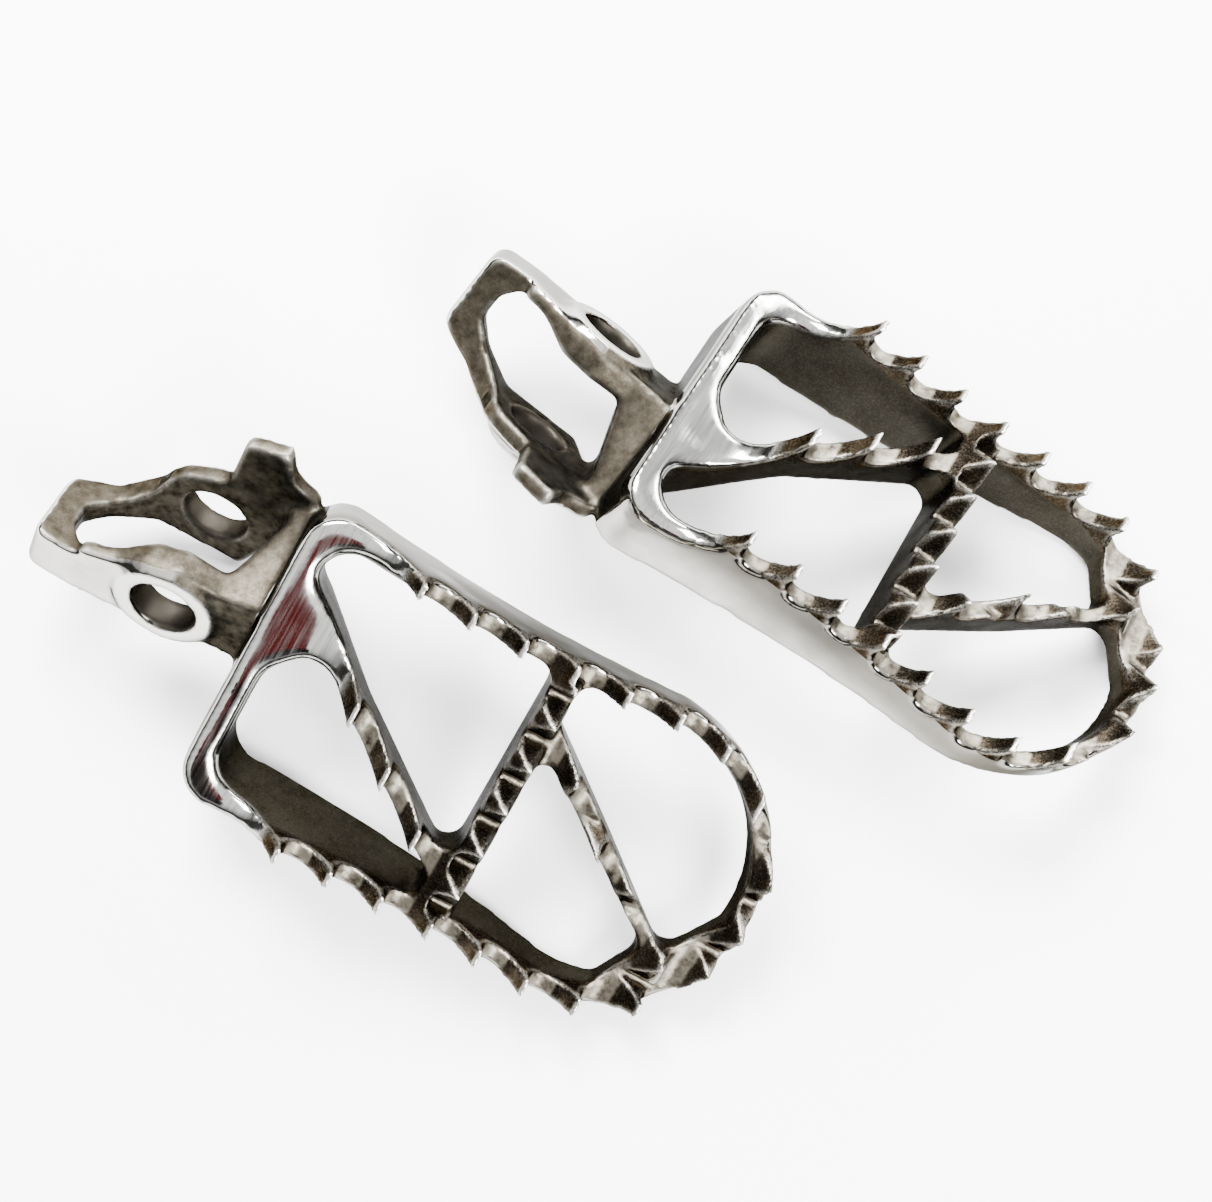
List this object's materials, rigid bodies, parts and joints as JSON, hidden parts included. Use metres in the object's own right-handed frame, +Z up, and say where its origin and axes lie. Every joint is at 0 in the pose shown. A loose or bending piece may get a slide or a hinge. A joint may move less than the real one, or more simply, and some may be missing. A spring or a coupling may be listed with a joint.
{
  "type": "pair of motorcycle foot pegs",
  "caption": "Mirrored pair of open cast foot pegs with toothed treads and a two-eared hinge clevis, for an off-road bike.",
  "frame": {"origin": "middle of the pair's footprint, on the ground plane", "axes": "+Z up from the ground, +X outboard along both pegs from the hinges to the noses, +Y from the left peg to the right peg"},
  "size_m": [0.1642, 0.1208, 0.039],
  "materials": {
    "ground_tread": "cast stainless steel, satin with ground teeth",
    "polished_bar": "cast stainless steel, polished",
    "cast_hinge": "cast stainless steel, polished outside and grainy inside"
  },
  "bodies": {
    "right_peg": {"right_inner_bar": "polished_bar", "right_boss_rail": "ground_tread", "right_tab_rail": "ground_tread", "right_nose_arch": "ground_tread", "right_crossbar": "ground_tread", "right_inner_brace": "ground_tread", "right_outer_brace": "ground_tread", "right_hinge_neck": "cast_hinge", "right_boss_ear": "cast_hinge", "right_tab_ear": "cast_hinge", "right_end_bridge": "cast_hinge", "right_stop_tab": "cast_hinge"},
    "left_peg": {"left_inner_bar": "polished_bar", "left_boss_rail": "ground_tread", "left_tab_rail": "ground_tread", "left_nose_arch": "ground_tread", "left_crossbar": "ground_tread", "left_inner_brace": "ground_tread", "left_outer_brace": "ground_tread", "left_hinge_neck": "cast_hinge", "left_boss_ear": "cast_hinge", "left_tab_ear": "cast_hinge", "left_end_bridge": "cast_hinge", "left_stop_tab": "cast_hinge"}
  },
  "joints": [
    {"name": "left_lift", "type": "slide", "parent": "right_peg", "child": "left_peg", "axis": [0, 0, 1], "range_m": [0, 0.06]}
  ]
}
